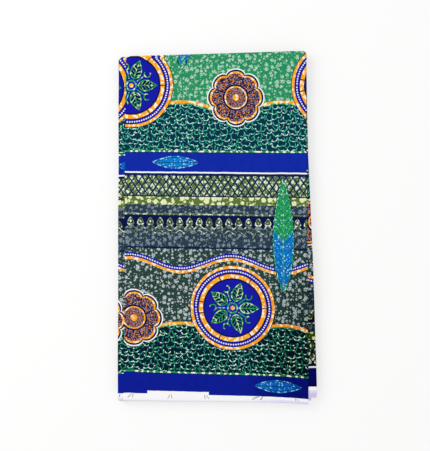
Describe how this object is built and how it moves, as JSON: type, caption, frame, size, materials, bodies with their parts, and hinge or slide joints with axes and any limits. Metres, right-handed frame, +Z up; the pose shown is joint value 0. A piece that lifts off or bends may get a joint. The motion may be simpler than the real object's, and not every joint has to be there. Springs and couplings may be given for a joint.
{
  "type": "folded african print fabric",
  "caption": "Folded length of printed cotton cloth, lying flat: folded in half lengthwise and then across into a stack of panels, with slightly fanned edges.",
  "frame": {"origin": "middle of the folded cloth's outline, on the surface that it lies on", "axes": "+X across the panels to the picture's right, +Y from the selvages to the lengthwise fold at the picture's top, +Z up from the surface"},
  "size_m": [0.3344, 0.5914, 0.0172],
  "materials": {
    "printed_cotton": "plain woven cotton, printed on both faces in green, navy, royal blue, olive and orange with white crackle, slightly glazed"
  },
  "bodies": {
    "root": {"top_panel": "printed_cotton", "right_under_panel": "printed_cotton", "left_under_panel": "printed_cotton", "folded_layers": "printed_cotton"}
  },
  "joints": []
}
